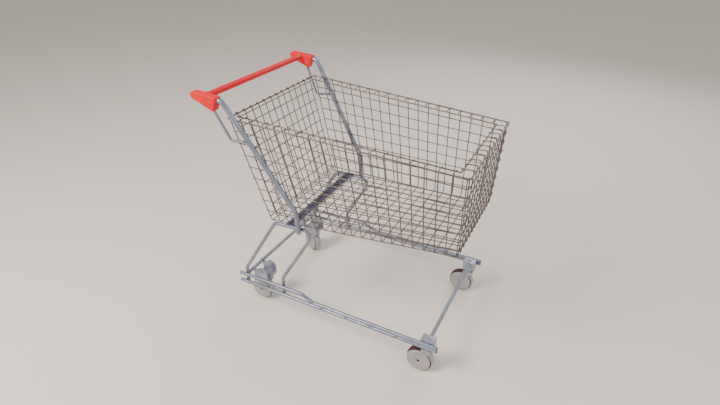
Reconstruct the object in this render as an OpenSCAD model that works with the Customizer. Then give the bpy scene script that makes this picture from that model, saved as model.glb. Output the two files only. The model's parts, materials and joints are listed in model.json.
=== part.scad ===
// Wire-basket shopping cart with a lifting rear gate and four swivel casters.
// +X points forward, +Y to the left and +Z up. The origin is on the floor under the middle of the cart.

/* [Basket] */
// Distance from the rearmost to the foremost upright, along the rim
rim_length = 888; // [740:1:1080]
// Distance between the side uprights at the rear of the rim
rim_rear_width = 590; // [490:1:710]
// Distance between the side uprights at the front of the rim
rim_front_width = 516; // [420:1:610]
// Height of the rim at the rear
rim_height = 923; // [860:1:980]
// How far the rim falls from rear to front
rim_fall = 49; // [0:1:100]
// Length of the basket floor
floor_length = 757; // [640:1:900]
// Width of the floor at the rear
floor_rear_width = 518; // [430:1:600]
// Width of the floor at the front
floor_front_width = 436; // [350:1:500]
// Height of the floor at the rear
floor_height = 492; // [430:1:560]
// How far the floor rises from rear to front
floor_rise = 49; // [0:1:100]
// How far the rear gate's foot stands forward of its hinge
rear_lean = 116; // [60:1:160]
// Number of gaps between uprights along each side
side_gaps = 19; // [10:1:24]
// Number of gaps between the level wires, floor to rim
level_gaps = 9; // [5:1:12]
// Number of gaps between wires across the basket
cross_gaps = 12; // [6:1:16]
// Diameter of the mesh wire
wire_d = 4; // [3:0.5:5]
// Diameter of the rim wire
rim_wire_d = 6; // [5:0.5:8]
// Diameter of the lower, inner rim wire
inner_wire_d = 5; // [4:0.5:6]
// How far the bent-over ends of the uprights reach inward
hook_reach = 38; // [24:0.5:46]

/* [Rear gate] */
// Gap between the ends of the gate's cross wires and the inner rim wires that it swings past
gate_side_gap = 6; // [4:0.5:20]
// Play between the hinge hooks and the rim wire
hook_play = 0.5; // [0.35:0.05:1]
// Height of the gate's foot above the basket floor
gate_foot_gap = 9; // [7:0.5:20]

/* [Handle] */
// Height of the handle bar's centre
handle_height = 999; // [960:1:1060]
// How far the handle bar is behind the rim
handle_setback = 83; // [70:1:120]
// Outer diameter of the grip sleeve
grip_d = 24; // [21:0.5:32]
// Diameter of the steel bar inside the grip
core_d = 18; // [16:0.5:20]
// Thickness of each end cap
cap_thick = 32; // [26:1:40]

/* [Frame] */
// Diameter of the two side tubes
side_tube_d = 20; // [16:0.5:24]
// Diameter of the handle brace rods
brace_d = 10; // [8:0.5:12]
// Diameter of the chassis and under-basket tubes
frame_d = 15; // [12:0.5:18]
// Wall thickness of all the tubes
tube_wall = 1.5; // [1:0.1:2.5]
// Distance between the centres of the left and right rails
rail_width = 600; // [520:1:700]
// Length of the lower rails
rail_length = 924; // [760:1:1040]
// Height of the lower rails' centre
rail_height = 148; // [140:1:170]
// How far the upper rails are raised at the rear
rail_raise = 25; // [18:1:40]
// Distance between the feet of the under-basket tube
strut_spacing = 194; // [150:1:240]
// How far the rear struts' feet stand behind the basket floor
strut_setback = 148; // [120:1:180]
// Distance from the rear of the basket floor to the feet of the side tubes
side_tube_reach = 133; // [110:1:160]
// Distance from the rear of the basket floor to the plate's middle
plate_reach = 83; // [60:1:100]
// Length of the raised rear part of the upper rails
raised_length = 322; // [260:1:400]
// Width of the plate under the basket, along the cart
plate_width = 44; // [30:1:60]
// Thickness of that plate
plate_thick = 3; // [2:0.5:5]

/* [Casters] */
// Diameter of the tyres
wheel_d = 106; // [88:1:128]
// Width of the tyres
tyre_width = 22; // [16:1:28]
// Diameter of the grey side discs
guard_d = 100; // [80:1:106]
// How far each wheel trails behind its swivel
trail = 30; // [20:1:36]
// Distance between the front swivels
front_track = 540; // [460:1:560]
// Distance between the rear swivels
rear_track = 416; // [340:1:460]
// Distance from the rear struts' feet forward to the rear swivels
rear_stem_ahead = 45; // [38:1:60]
// Distance from the front ends of the rails back to the front swivels
front_stem_back = 44; // [40:1:60]
// Turn of the left rear caster about its swivel, as it stands
rear_left_turn = 28; // [0:1:40]
// Radius of the swivel stems
stem_r = 6; // [5:0.5:7]

/* [Hidden] */
$fn = 36;
// gap left at each weld or seat
seat = 0.05;
// radial clearance of pins and stems in their holes
fit = 0.05;
bend_r = 10;

// ---- rods and bent tubes ----

function unit(v) = v / norm(v);

function mirror_y(p) = [for (q = p) [q[0], -q[1], q[2]]];

// length that bend i takes off the straights beside it
function cut(p, r, i) =
    (i == 0 || i == len(p) - 1) ? 0
    : r[i] * tan(acos(unit(p[i] - p[i - 1]) * unit(p[i + 1] - p[i])) / 2);

module rod(from, to, d) {
    span = to - from;
    translate(from)
        rotate([0, acos(span[2] / norm(span)), atan2(span[1], span[0])])
            cylinder(h = norm(span), d = d);
}

module ring_section(d, bore) {
    difference() {
        circle(d = d);
        if (bore > 0) circle(d = bore);
    }
}

// straight i of a path; extra lengthens it into the bends beside it, and past an open end
module straight(p, r, i, d, extra = 0, past_ends = 0) {
    along = unit(p[i + 1] - p[i]);
    before = (i == 0) ? past_ends : extra;
    after = (i == len(p) - 2) ? past_ends : extra;
    rod(
        p[i] + along * (cut(p, r, i) - before),
        p[i + 1] - along * (cut(p, r, i + 1) - after),
        d
    );
}

// bend i of a path: an arc in the plane of the two straights it joins, with a bore if one is given
module bend(p, r, i, d, bore = 0) {
    before = unit(p[i] - p[i - 1]);
    after = unit(p[i + 1] - p[i]);
    turn = acos(before * after);
    inward = unit(after - before * (before * after));
    axis = cross(before, inward);
    middle = p[i] - before * cut(p, r, i) + inward * r[i];
    multmatrix([
        [-inward[0], before[0], axis[0], middle[0]],
        [-inward[1], before[1], axis[1], middle[1]],
        [-inward[2], before[2], axis[2], middle[2]],
        [0, 0, 0, 1]
    ])
        rotate_extrude(angle = turn)
            translate([r[i], 0]) ring_section(d, bore);
}

// one bent bar: the straights plug a little way into bends that are a hair thicker
module bent_bar(p, r, d, past_ends = 0) {
    plug = d / 15 + 0.2;
    swell = 0.12;
    for (i = [0 : len(p) - 2]) straight(p, r, i, d, plug, past_ends);
    for (i = [1 : len(p) - 2]) bend(p, r, i, d + swell);
}

// a long tube with tight bends: straights and bends are pieces that meet end to end
module jointed_tube(p, r, d, wall) {
    bore = d - 2 * wall;
    for (i = [0 : len(p) - 2]) {
        along = unit(p[i + 1] - p[i]);
        from = cut(p, r, i) + (i == 0 ? 0 : seat);
        to = cut(p, r, i + 1) + (i == len(p) - 2 ? 0 : seat);
        translate(p[i] + along * from)
            rotate([0, acos(along[2]), atan2(along[1], along[0])])
                linear_extrude(height = norm(p[i + 1] - p[i]) - from - to)
                    ring_section(d, bore);
    }
    for (i = [1 : len(p) - 2]) bend(p, r, i, d, bore);
}

module bent_tube(p, r, d, wall) {
    difference() {
        bent_bar(p, r, d);
        bent_bar(p, r, d - 2 * wall, 1);
    }
}

module both_sides() {
    children();
    mirror([0, 1, 0]) children();
}

// ---- basket shape ----

front_depth = rim_height - rim_fall - floor_height - floor_rise;
// centre distances of two touching wires, grown for the lean of the walls
side_lean = max(
    atan(abs(rim_rear_width - floor_rear_width) / 2 / (rim_height - floor_height)),
    atan(abs(rim_front_width - floor_front_width) / 2 / front_depth)
);
front_lean = atan((rim_length - rear_lean - floor_length) / front_depth);
mesh_step = (wire_d + seat) / cos(side_lean);
rim_step = ((wire_d + rim_wire_d) / 2 + seat) / cos(side_lean);
front_step = (wire_d + seat) / cos(front_lean);
front_rim_step = front_step + ((wire_d + rim_wire_d) / 2 + seat) / cos(front_lean);

// the whole cart, cap nose to front rim wire, is centred on the origin
cap_nose_reach = 56;
overall_length = cap_nose_reach + handle_setback + rim_length + front_rim_step + rim_wire_d / 2;
rear_x = cap_nose_reach + handle_setback - overall_length / 2;
front_x = rear_x + rim_length;
floor_rear_x = rear_x + rear_lean;
floor_front_x = floor_rear_x + floor_length;

rim_rear = [rear_x, rim_rear_width / 2, rim_height];
rim_front = [front_x, rim_front_width / 2, rim_height - rim_fall];
floor_rear = [floor_rear_x, floor_rear_width / 2, floor_height];
floor_front = [floor_front_x, floor_front_width / 2, floor_height + floor_rise];

function mix(a, b, t) = a + (b - a) * t;

// point on the left side wall: u runs rear to front, v runs floor to rim
function side_point(u, v) = mix(mix(floor_rear, floor_front, u), mix(rim_rear, rim_front, u), v);

function floor_z(x) = mix(floor_height, floor_height + floor_rise, (x - floor_rear_x) / floor_length);

// uprights run past the rim before they bend inward
hook_rise = 5;
hook_fall = 4;
hook_r = 5;
// hooks are a hair thicker at the bend, so that bend and arm make one piece
hook_swell = 0.1;

// a side rib on the left: hook end, rim, floor corner, then the middle of the floor
function rib_up(k) = unit(side_point(k / side_gaps, 1) - side_point(k / side_gaps, 0));
function rib_crown(k) = side_point(k / side_gaps, 1) + rib_up(k) * hook_rise;
function rib_path(k) = [
    rib_crown(k) + [0, -hook_reach, -hook_fall],
    rib_crown(k),
    side_point(k / side_gaps, 0),
    side_point(k / side_gaps, 0) - [0, floor_front_width / 3, 0]
];
rib_r = [0, hook_r, bend_r, 0];

module side_uprights() {
    color("slategray")
        both_sides()
            for (k = [0 : side_gaps]) straight(rib_path(k), rib_r, 1, wire_d);
}

module rib_corner_bends() {
    color("slategray")
        both_sides()
            for (k = [0 : side_gaps]) bend(rib_path(k), rib_r, 2, wire_d);
}

module floor_cross_wires() {
    color("slategray")
        for (k = [0 : side_gaps]) {
            corner = side_point(k / side_gaps, 0);
            reach = corner - [0, cut(rib_path(k), rib_r, 2), 0];
            rod(reach, [reach[0], -reach[1], reach[2]], wire_d);
        }
}

module side_hooks() {
    color("slategray")
        both_sides()
            for (k = [1 : side_gaps - 1]) {
                bend(rib_path(k), rib_r, 1, wire_d + hook_swell);
                straight(rib_path(k), rib_r, 0, wire_d, hook_swell * 4);
            }
}

// a level wire on the left: rear end, front corner, then the middle of the front
function level_ahead(v) = 1 + 2 * front_step / mix(floor_length, rim_length, v);
function level_path(v) = [
    side_point(-wire_d / rim_length, v) + [0, mesh_step, 0],
    side_point(level_ahead(v), v) + [0, mesh_step, 0],
    side_point(level_ahead(v), v) - [0, floor_front_width / 3, 0]
];
level_bend_r = 8;
level_r = [0, level_bend_r, 0];

module side_wires() {
    color("slategray")
        both_sides()
            for (j = [1 : level_gaps - 1]) straight(level_path(j / level_gaps), level_r, 0, wire_d);
}

module front_corner_bends() {
    color("slategray")
        both_sides()
            for (j = [1 : level_gaps - 1]) bend(level_path(j / level_gaps), level_r, 1, wire_d);
}

module front_wires() {
    color("slategray")
        for (j = [1 : level_gaps - 1]) {
            p = level_path(j / level_gaps);
            reach = p[1] - [0, cut(p, level_r, 1), 0];
            rod(reach, [reach[0], -reach[1], reach[2]], wire_d);
        }
}

// a lengthwise wire, number i from the right: rear end, front corner, crown, hook end
function across(half, i) = half * (2 * i / cross_gaps - 1);
function long_crown(i) = [
    front_x + front_step + tan(front_lean) * hook_rise,
    across(rim_front[1] - bend_r, i),
    rim_front[2] + hook_rise
];
function long_path(i) = [
    [floor_rear_x - wire_d, across(floor_rear[1] - bend_r, i), floor_z(floor_rear_x - wire_d) - mesh_step],
    [
        floor_front_x + front_step - tan(front_lean) * mesh_step,
        across(floor_front[1] - bend_r, i),
        floor_z(floor_front_x) - mesh_step
    ],
    long_crown(i),
    long_crown(i) + [-hook_reach - wire_d, 0, -hook_fall]
];
long_r = [0, wire_d, hook_r, 0];

module floor_long_wires() {
    color("slategray")
        for (i = [0 : cross_gaps]) straight(long_path(i), long_r, 0, wire_d);
}

module front_foot_bends() {
    color("slategray")
        for (i = [0 : cross_gaps]) bend(long_path(i), long_r, 1, wire_d);
}

module front_uprights() {
    color("slategray")
        for (i = [0 : cross_gaps]) straight(long_path(i), long_r, 1, wire_d);
}

module front_hooks() {
    color("slategray")
        for (i = [1 : cross_gaps - 1]) {
            bend(long_path(i), long_r, 2, wire_d + hook_swell);
            straight(long_path(i), long_r, 2, wire_d, hook_swell * 4);
        }
}

// the rim wire runs round the outside of the uprights; its rear run is the gate's hinge pin
// the rear run stands this much clear of the last ribs
hinge_clear = 1;
rim_rear_corner = side_point(-(rim_step + hinge_clear) / rim_length, 1) + [0, rim_step, 0];
rim_front_corner = side_point(1 + front_rim_step / rim_length, 1) + [0, rim_step, 0];
rim_path = [
    [rim_rear_corner[0], 0, rim_rear_corner[2]],
    rim_rear_corner,
    rim_front_corner,
    [rim_front_corner[0], 0, rim_front_corner[2]]
];
rim_rear_bend_r = 6;
rim_r = [0, rim_rear_bend_r, bend_r, 0];

module rim_side_wires() {
    color("slategray")
        both_sides() straight(rim_path, rim_r, 1, rim_wire_d);
}

module rim_corner_bends() {
    color("slategray")
        both_sides()
            for (i = [1, 2]) bend(rim_path, rim_r, i, rim_wire_d);
}

module rim_rear_wire() {
    color("slategray") {
        reach = rim_rear_corner - [0, cut(rim_path, rim_r, 1), 0];
        rod(reach, [reach[0], -reach[1], reach[2]], rim_wire_d);
    }
}

module rim_front_wire() {
    color("slategray") {
        reach = rim_front_corner - [0, cut(rim_path, rim_r, 2), 0];
        rod(reach, [reach[0], -reach[1], reach[2]], rim_wire_d);
    }
}

// the inner rim wire hangs under the ends of the hooks
hook_slope = atan(hook_fall / hook_reach);
inner_in = hook_reach - inner_wire_d / 2;
inner_drop = inner_in * tan(hook_slope) + ((wire_d + inner_wire_d) / 2 + 5 * seat) / cos(hook_slope);

inner_rear = rib_crown(0) + [wire_d, -inner_in, -inner_drop];
inner_front = rib_crown(side_gaps) + [0, -inner_in, -inner_drop];
inner_ahead = long_crown(0)[0] - inner_in;
inner_share = (inner_ahead + inner_wire_d / 2 - inner_rear[0]) / (inner_front[0] - inner_rear[0]);

module inner_rim_side_wires() {
    color("slategray")
        both_sides()
            rod(inner_rear, mix(inner_rear, inner_front, inner_share), inner_wire_d);
}

module inner_rim_front_wire() {
    color("slategray") {
        long_slope = atan(hook_fall / (hook_reach + wire_d));
        drop = inner_in * tan(long_slope) + ((wire_d + inner_wire_d) / 2 + 2 * seat) / cos(long_slope);
        half = rim_front[1] - inner_in - inner_wire_d - 1;
        rod([inner_ahead, half, long_crown(0)[2] - drop],
            [inner_ahead, -half, long_crown(0)[2] - drop], inner_wire_d);
    }
}

// a cross wire behind the gate's foot keeps it from swinging backward
stop_up = 20;
stop_v = stop_up / (rim_height - floor_height);

module gate_stop_wire() {
    color("slategray") {
        p = side_point(0, stop_v);
        half = p[1] - wire_d / 2 - 4 * seat;
        rod([p[0], half, p[2]], [p[0], -half, p[2]], wire_d);
    }
}

// ---- rear gate, drawn hanging straight down from its hinge and then leaned forward ----

hinge = [rim_rear_corner[0], 0, rim_rear_corner[2]];
hook_centre_r = rim_wire_d / 2 + hook_play + wire_d / 2;
stop_play = 0.4;
stop_from_hinge = side_point(0, stop_v) - rim_rear_corner;
stop_depth = norm([stop_from_hinge[0], stop_from_hinge[2]]);
stop_angle = atan2(stop_from_hinge[0], -stop_from_hinge[2]);
gate_lean = stop_angle + asin((wire_d + stop_play - hook_centre_r) / stop_depth);
gate_length = (rim_height - floor_height - gate_foot_gap) / cos(gate_lean);

// the swinging gate passes between the inner rim wires, which close in toward the front
gate_overhang = 3;
function gate_half(reach) =
    mix(rim_rear[1], rim_front[1], reach / rim_length)
        - inner_in - inner_wire_d / 2 - gate_side_gap - gate_overhang;
gate_top_width = 2 * gate_half(wire_d);
gate_foot_width = 2 * gate_half(gate_length);

module gate_place() {
    translate(hinge) rotate([0, -gate_lean, 0]) children();
}

function gate_path(i) = [
    [hook_centre_r, across(gate_foot_width / 2, i), -gate_length],
    [hook_centre_r, across(gate_top_width / 2, i), hook_centre_r],
    [-hook_centre_r, across(gate_top_width / 2, i), hook_centre_r],
    [-hook_centre_r, across(gate_top_width / 2, i), -rim_wire_d / 2]
];
gate_hook_r = hook_centre_r - 0.8;
gate_r = [0, gate_hook_r, gate_hook_r, 0];

module gate_uprights() {
    color("slategray")
        gate_place()
            for (i = [0 : cross_gaps]) straight(gate_path(i), gate_r, 0, wire_d);
}

module gate_hooks() {
    color("slategray")
        gate_place()
            for (i = [0 : cross_gaps]) {
                bend(gate_path(i), gate_r, 1, wire_d + hook_swell);
                straight(gate_path(i), gate_r, 1, wire_d, hook_swell * 4);
                bend(gate_path(i), gate_r, 2, wire_d + hook_swell);
                straight(gate_path(i), gate_r, 2, wire_d, hook_swell * 4);
            }
}

module gate_wires() {
    top_drop = 12;
    foot_up = 6;
    pitch = (gate_length - foot_up) / level_gaps;
    color("slategray")
        gate_place()
            for (drop = concat([top_drop], [for (j = [1 : level_gaps]) j * pitch])) {
                half = mix(gate_top_width / 2, gate_foot_width / 2, drop / gate_length) + gate_overhang;
                ahead = hook_centre_r + wire_d + seat;
                rod([ahead, half, -drop], [ahead, -half, -drop], wire_d);
            }
}

// ---- side tubes and handle ----

bar = [rear_x - handle_setback, 0, handle_height];
tube_r = side_tube_d / 2;
frame_r = frame_d / 2;

// the side tubes lie flat against the outside of the basket
tube_foot_x = floor_rear_x + side_tube_reach;
tube_foot = side_point((tube_foot_x - floor_rear_x) / floor_length, 0);
tube_out = mesh_step + wire_d / 2 + tube_r + 2 * seat;
tube_foot_lean = 2;
tube_foot_drop = 28;
tube_knee_x = tube_foot_x - tube_foot_lean;
tube_knee_v = 0.175;
tube_knee = side_point((tube_knee_x - floor_rear_x) / floor_length, tube_knee_v);
tube_knee_y = tube_knee[1] + tube_out;
elbow_x = bar[0] + 80;
elbow_z = handle_height - 8;
tube_start = 27;
tube_rim_x = mix(elbow_x, tube_knee_x, (elbow_z - rim_height) / (elbow_z - tube_knee[2]));
tube_rim = side_point((tube_rim_x - rear_x) / rim_length, 1);
tube_rim_y = tube_rim[1] + rim_step + rim_wire_d / 2 + tube_r + 2 * seat;
elbow_y = tube_rim_y + (tube_rim_y - tube_knee_y) * (elbow_z - tube_rim[2]) / (tube_rim[2] - tube_knee[2]);
side_tube_path = [
    [bar[0] + tube_start, elbow_y, handle_height],
    [elbow_x, elbow_y, elbow_z],
    [tube_knee_x, tube_knee_y, tube_knee[2]],
    [tube_foot_x, tube_foot[1] + tube_out, floor_z(tube_foot_x) - tube_foot_drop]
];
elbow_r = 35;
knee_r = 45;
side_tube_bends = [0, elbow_r, knee_r, 0];

module side_tube_left() {
    color("lightslategray")
        jointed_tube(side_tube_path, side_tube_bends, side_tube_d, tube_wall);
}

module side_tube_right() {
    color("lightslategray")
        jointed_tube(mirror_y(side_tube_path), side_tube_bends, side_tube_d, tube_wall);
}

// the brace leaves the foot of the cap and ends on the rear of the side tube
brace_drop = 155;
brace_rise = 10;
brace_bend_r = 14;
// where the rod's cut end stops short of the side tube's rear face
brace_gap = 2.5;
brace_z = elbow_z - brace_drop;
tube_dir = unit(side_tube_path[2] - side_tube_path[1]);
function on_tube(z) = side_tube_path[1] + tube_dir * ((z - elbow_z) / tube_dir[2]);
brace_end = on_tube(brace_z + brace_rise);
tube_skew = 1.02;
brace_back = (tube_r + 2 * seat) / abs(tube_dir[2]) * tube_skew
    + brace_d / 2 * abs(tube_dir[0] / tube_dir[2]) + brace_gap;
brace_start = [20, -22];
brace_path = [
    [bar[0] + brace_start[0], elbow_y, handle_height + brace_start[1]],
    [elbow_x + 4, on_tube(brace_z)[1], brace_z],
    [brace_end[0] - brace_back, brace_end[1], brace_z + brace_rise]
];
brace_bends = [0, brace_bend_r, 0];

module handle_brace_left() {
    color("lightslategray") bent_bar(brace_path, brace_bends, brace_d);
}

module handle_brace_right() {
    color("lightslategray") bent_bar(mirror_y(brace_path), brace_bends, brace_d);
}

// end cap: a wedge with a round nose, drawn from the handle bar's centre
cap_nose_r = 14;
cap_nose = [cap_nose_r - cap_nose_reach, 2];
cap_front_top = [66, 8];
cap_front_foot = [44, -47];

module cap_outline() {
    nose = [for (a = [86 : 13 : 242]) cap_nose + cap_nose_r * [cos(a), sin(a)]];
    polygon(concat(nose, [cap_front_foot, cap_front_top]));
}

cap_inner_y = elbow_y - cap_thick / 2;
socket_depth = 12;
// air left between the bar's end and the bottom of its socket
end_gap = 0.5;

module handle_cap() {
    difference() {
        translate([bar[0], elbow_y + cap_thick / 2, bar[2]])
            rotate([90, 0, 0])
                linear_extrude(height = cap_thick) cap_outline();
        translate([bar[0], cap_inner_y - 1, bar[2]])
            rotate([-90, 0, 0]) cylinder(h = socket_depth + 1, r = core_d / 2 + fit);
        straight(side_tube_path, side_tube_bends, 0, side_tube_d + 2 * fit, 1);
        bend(side_tube_path, side_tube_bends, 1, side_tube_d + 4 * fit);
        straight(brace_path, brace_bends, 0, brace_d + 2 * fit);
    }
}

module handle_cap_left() {
    color("red") handle_cap();
}

module handle_cap_right() {
    color("red") mirror([0, 1, 0]) handle_cap();
}

module handle_core() {
    half = cap_inner_y + socket_depth - end_gap;
    color("silver")
        translate([bar[0], half, bar[2]])
            rotate([90, 0, 0])
                linear_extrude(height = 2 * half) ring_section(core_d, core_d - 2 * tube_wall);
}

module handle_grip() {
    half = cap_inner_y - seat;
    color("red")
        translate([bar[0], half, bar[2]])
            rotate([90, 0, 0])
                linear_extrude(height = 2 * half) ring_section(grip_d, core_d + 2 * fit);
}

// ---- under-basket frame ----

strut_rear_x = floor_rear_x - strut_setback;
strut_bend_z = 217;
front_bend_raise = 12;
strut_rise_x = 153;
rail_y = rail_width / 2;
stub_y = rail_y - frame_d - seat;
frame_top_drop = mesh_step + wire_d / 2 + plate_thick + frame_r + 3 * seat;
frame_top_y = side_tube_path[3][1] - tube_r - frame_r - seat;
stub_foot = rail_height - frame_r;
frame_rear_top_x = strut_rear_x + strut_rise_x;
frame_front_top_x = frame_rear_top_x + strut_spacing;

basket_frame_path = [
    [strut_rear_x, stub_y, stub_foot],
    [strut_rear_x, stub_y, strut_bend_z],
    [frame_rear_top_x, frame_top_y, floor_z(frame_rear_top_x) - frame_top_drop],
    [frame_front_top_x, frame_top_y, floor_z(frame_front_top_x) - frame_top_drop],
    [strut_rear_x + strut_spacing, stub_y, strut_bend_z + front_bend_raise],
    [strut_rear_x + strut_spacing, stub_y, stub_foot]
];
strut_bend_r = 25;
crown_bend_r = 32;
basket_frame_bends = [0, strut_bend_r, strut_bend_r, crown_bend_r, strut_bend_r, 0];

module basket_frame_left() {
    color("lightslategray")
        jointed_tube(basket_frame_path, basket_frame_bends, frame_d, tube_wall);
}

module basket_frame_right() {
    color("lightslategray")
        jointed_tube(mirror_y(basket_frame_path), basket_frame_bends, frame_d, tube_wall);
}

plate_x = floor_rear_x + plate_reach;

module cross_plate() {
    slope = atan(floor_rise / floor_length);
    half = frame_top_y + frame_r - 1;
    color("darkslateblue")
        translate([plate_x, 0, floor_z(plate_x) - mesh_step - wire_d / 2 - seat - plate_thick / 2])
            rotate([0, -slope, 0])
                cube([plate_width, 2 * half, plate_thick], center = true);
}

// ---- chassis rails ----

rail_overhang = 27;
rail_rear_x = strut_rear_x - rail_overhang;
rail_front_x = rail_rear_x + rail_length;
upper_z = rail_height + frame_d + seat;
joggle_rear_x = rail_rear_x + raised_length;
joggle_run = 61;
joggle_r = 30;
joggle_front_x = joggle_rear_x + joggle_run;
upper_rail_path = [
    [rail_rear_x, rail_y, upper_z + rail_raise],
    [joggle_rear_x, rail_y, upper_z + rail_raise],
    [joggle_front_x, rail_y, upper_z],
    [rail_front_x, rail_y, upper_z]
];
upper_rail_bends = [0, joggle_r, joggle_r, 0];
lower_rail_path = [[rail_rear_x, rail_y, rail_height], [rail_front_x, rail_y, rail_height]];

module lower_rail_left() {
    color("lightslategray")
        bent_tube(lower_rail_path, [0, 0], frame_d, tube_wall);
}

module lower_rail_right() {
    color("lightslategray")
        bent_tube(mirror_y(lower_rail_path), [0, 0], frame_d, tube_wall);
}

module upper_rail_left() {
    color("lightslategray")
        bent_tube(upper_rail_path, upper_rail_bends, frame_d, tube_wall);
}

module upper_rail_right() {
    color("lightslategray")
        bent_tube(mirror_y(upper_rail_path), upper_rail_bends, frame_d, tube_wall);
}

// a plug closes each open rail end
module rail_plug() {
    head = 2;
    shank = 12;
    rotate([0, 90, 0]) {
        translate([0, 0, seat]) cylinder(h = head, d = frame_d);
        translate([0, 0, -shank]) cylinder(h = shank + head, r = frame_r - tube_wall - fit);
    }
}

module rail_plugs() {
    color("dimgray")
        both_sides() {
            for (z = [rail_height, upper_z])
                translate([rail_front_x, rail_y, z]) rail_plug();
            for (z = [rail_height, upper_z + rail_raise])
                translate([rail_rear_x, rail_y, z]) mirror([1, 0, 0]) rail_plug();
        }
}

// ---- caster heads and cross tubes ----

front_stem = [rail_front_x - front_stem_back, front_track / 2];
rear_stem = [strut_rear_x + rear_stem_ahead, rear_track / 2];
head_over_wheel = 22;
head_foot = wheel_d + head_over_wheel;
head_width = 55;
socket_depth_up = 32;
socket_top = head_foot + socket_depth_up;
head_outer_y = rail_y - frame_r - seat;
head_inner_y = 2 * front_stem[1] - head_outer_y + 4;

cross_tube_ahead = 3;

module front_caster_heads() {
    head_top = upper_z + frame_r + 1.5;
    color("lightslategray")
        both_sides()
            difference() {
                translate([front_stem[0] - head_width / 2, head_inner_y, head_foot])
                    cube([head_width, head_outer_y - head_inner_y, head_top - head_foot]);
                translate([front_stem[0], front_stem[1], head_foot - 1])
                    cylinder(h = socket_top - head_foot + 1, r = stem_r + fit);
            }
}

module front_cross_tube() {
    half = head_inner_y - seat;
    color("lightslategray")
        translate([front_stem[0] + cross_tube_ahead, half, upper_z])
            rotate([90, 0, 0])
                linear_extrude(height = 2 * half) ring_section(frame_d, frame_d - 2 * tube_wall);
}

rear_tube_x = strut_rear_x - 2;
rear_tube_raise = 17;
rear_tube_z = upper_z + rear_tube_raise;

module rear_cross_tube() {
    half = stub_y - frame_r - seat;
    color("lightslategray")
        translate([rear_tube_x, half, rear_tube_z])
            rotate([90, 0, 0])
                linear_extrude(height = 2 * half) ring_section(frame_d, frame_d - 2 * tube_wall);
}

// rear caster bracket: two round-topped cheeks on the cross tube, a floor plate and a stem socket
cheek_gap = 64;
cheek_thick = 4;
cheek_r = 26;
cheek_drop = 12;
collar = 4;
bracket_floor = 5;

module cheek_outline() {
    translate([0, rear_tube_z - cheek_drop]) circle(r = cheek_r);
    translate([-cheek_r, head_foot]) square([2 * cheek_r, rear_tube_z - cheek_drop - head_foot]);
    translate([rear_tube_x - rear_stem[0], rear_tube_z]) circle(r = frame_r + collar);
    translate([rear_tube_x - rear_stem[0], head_foot])
        square([rear_stem[0] - rear_tube_x, rear_tube_z - head_foot]);
}

module rear_caster_heads() {
    color("lightslategray")
        both_sides()
            translate([rear_stem[0], rear_stem[1], 0])
                difference() {
                    union() {
                        for (side = [-1, 1])
                            translate([0, side * (cheek_gap + cheek_thick) / 2 + cheek_thick / 2, 0])
                                rotate([90, 0, 0])
                                    linear_extrude(height = cheek_thick) cheek_outline();
                        translate([rear_tube_x - rear_stem[0], -cheek_gap / 2, head_foot])
                            cube([rear_stem[0] - rear_tube_x + cheek_r, cheek_gap, bracket_floor]);
                        translate([0, 0, head_foot]) cylinder(h = socket_top - head_foot, r = 2 * stem_r + 2);
                    }
                    translate([0, 0, head_foot - 1]) cylinder(h = 2 * head_foot, r = stem_r + fit);
                    translate([rear_tube_x - rear_stem[0], 60, rear_tube_z])
                        rotate([90, 0, 0]) cylinder(h = 120, r = frame_r + fit);
                }
}

// ---- casters, drawn with the swivel axis at the origin ----

axle_r = 4;
leg_thick = 3;
tyre_clear = 1.5;
leg_inner = tyre_width / 2 + tyre_clear;
guard_thick = 6;
crown_over_wheel = 6;
crown_z = wheel_d + crown_over_wheel;
crown_thick = 4;
crown_half = 22;
axle_z = wheel_d / 2;
race_gap = 0.1;
race_top = head_foot - race_gap;
eye_r = 14;
rubber_depth = 15;

module caster_place(at, turn) {
    translate([at[0], at[1], 0]) rotate([0, 0, turn]) children();
}

module leg_outline() {
    translate([-trail, axle_z]) circle(r = eye_r);
    polygon([
        [-trail - eye_r + 1, axle_z],
        [-crown_half, crown_z + crown_thick],
        [crown_half, crown_z + crown_thick],
        [-trail + eye_r - 1, axle_z]
    ]);
}

// crown, two legs, ball race, stem and axle
module fork() {
    for (side = [-1, 1])
        translate([0, side * (leg_inner + leg_thick / 2) + leg_thick / 2, 0])
            rotate([90, 0, 0])
                linear_extrude(height = leg_thick) leg_outline();
    translate([-crown_half, -leg_inner, crown_z]) cube([2 * crown_half, 2 * leg_inner, crown_thick]);
    translate([0, 0, crown_z + crown_thick])
        cylinder(h = race_top - crown_z - crown_thick, r = leg_inner + leg_thick);
    translate([0, 0, crown_z]) cylinder(h = socket_top - 2 - crown_z, r = stem_r);
    translate([-trail, leg_inner, axle_z]) rotate([90, 0, 0]) cylinder(h = 2 * leg_inner, r = axle_r);
}

// dished side disc outside each fork leg, held by a domed bolt head
module guards() {
    face = leg_inner + leg_thick + seat;
    for (side = [0, 1])
        mirror([0, side, 0])
            translate([-trail, face, axle_z])
                rotate([-90, 0, 0])
                    rotate_extrude()
                        polygon([
                            [0, 0], [guard_d / 2, 0], [guard_d / 2, 1.5], [guard_d / 2 - 3, guard_thick - 1],
                            [18, guard_thick], [14, guard_thick - 2], [5, guard_thick - 2],
                            [5, guard_thick - 0.5], [3, guard_thick], [0, guard_thick]
                        ]);
}

module hub() {
    hub_gap = 0.4;
    hub_r = 12;
    web_inset = 3;
    translate([-trail, leg_inner - hub_gap, axle_z])
        rotate([90, 0, 0])
            difference() {
                union() {
                    cylinder(h = 2 * (leg_inner - hub_gap), r = hub_r);
                    translate([0, 0, tyre_clear - hub_gap + web_inset])
                        cylinder(h = tyre_width - 2 * web_inset, r = wheel_d / 2 - rubber_depth);
                }
                translate([0, 0, -1]) cylinder(h = tyre_width + 6, r = axle_r + fit);
            }
}

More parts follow.
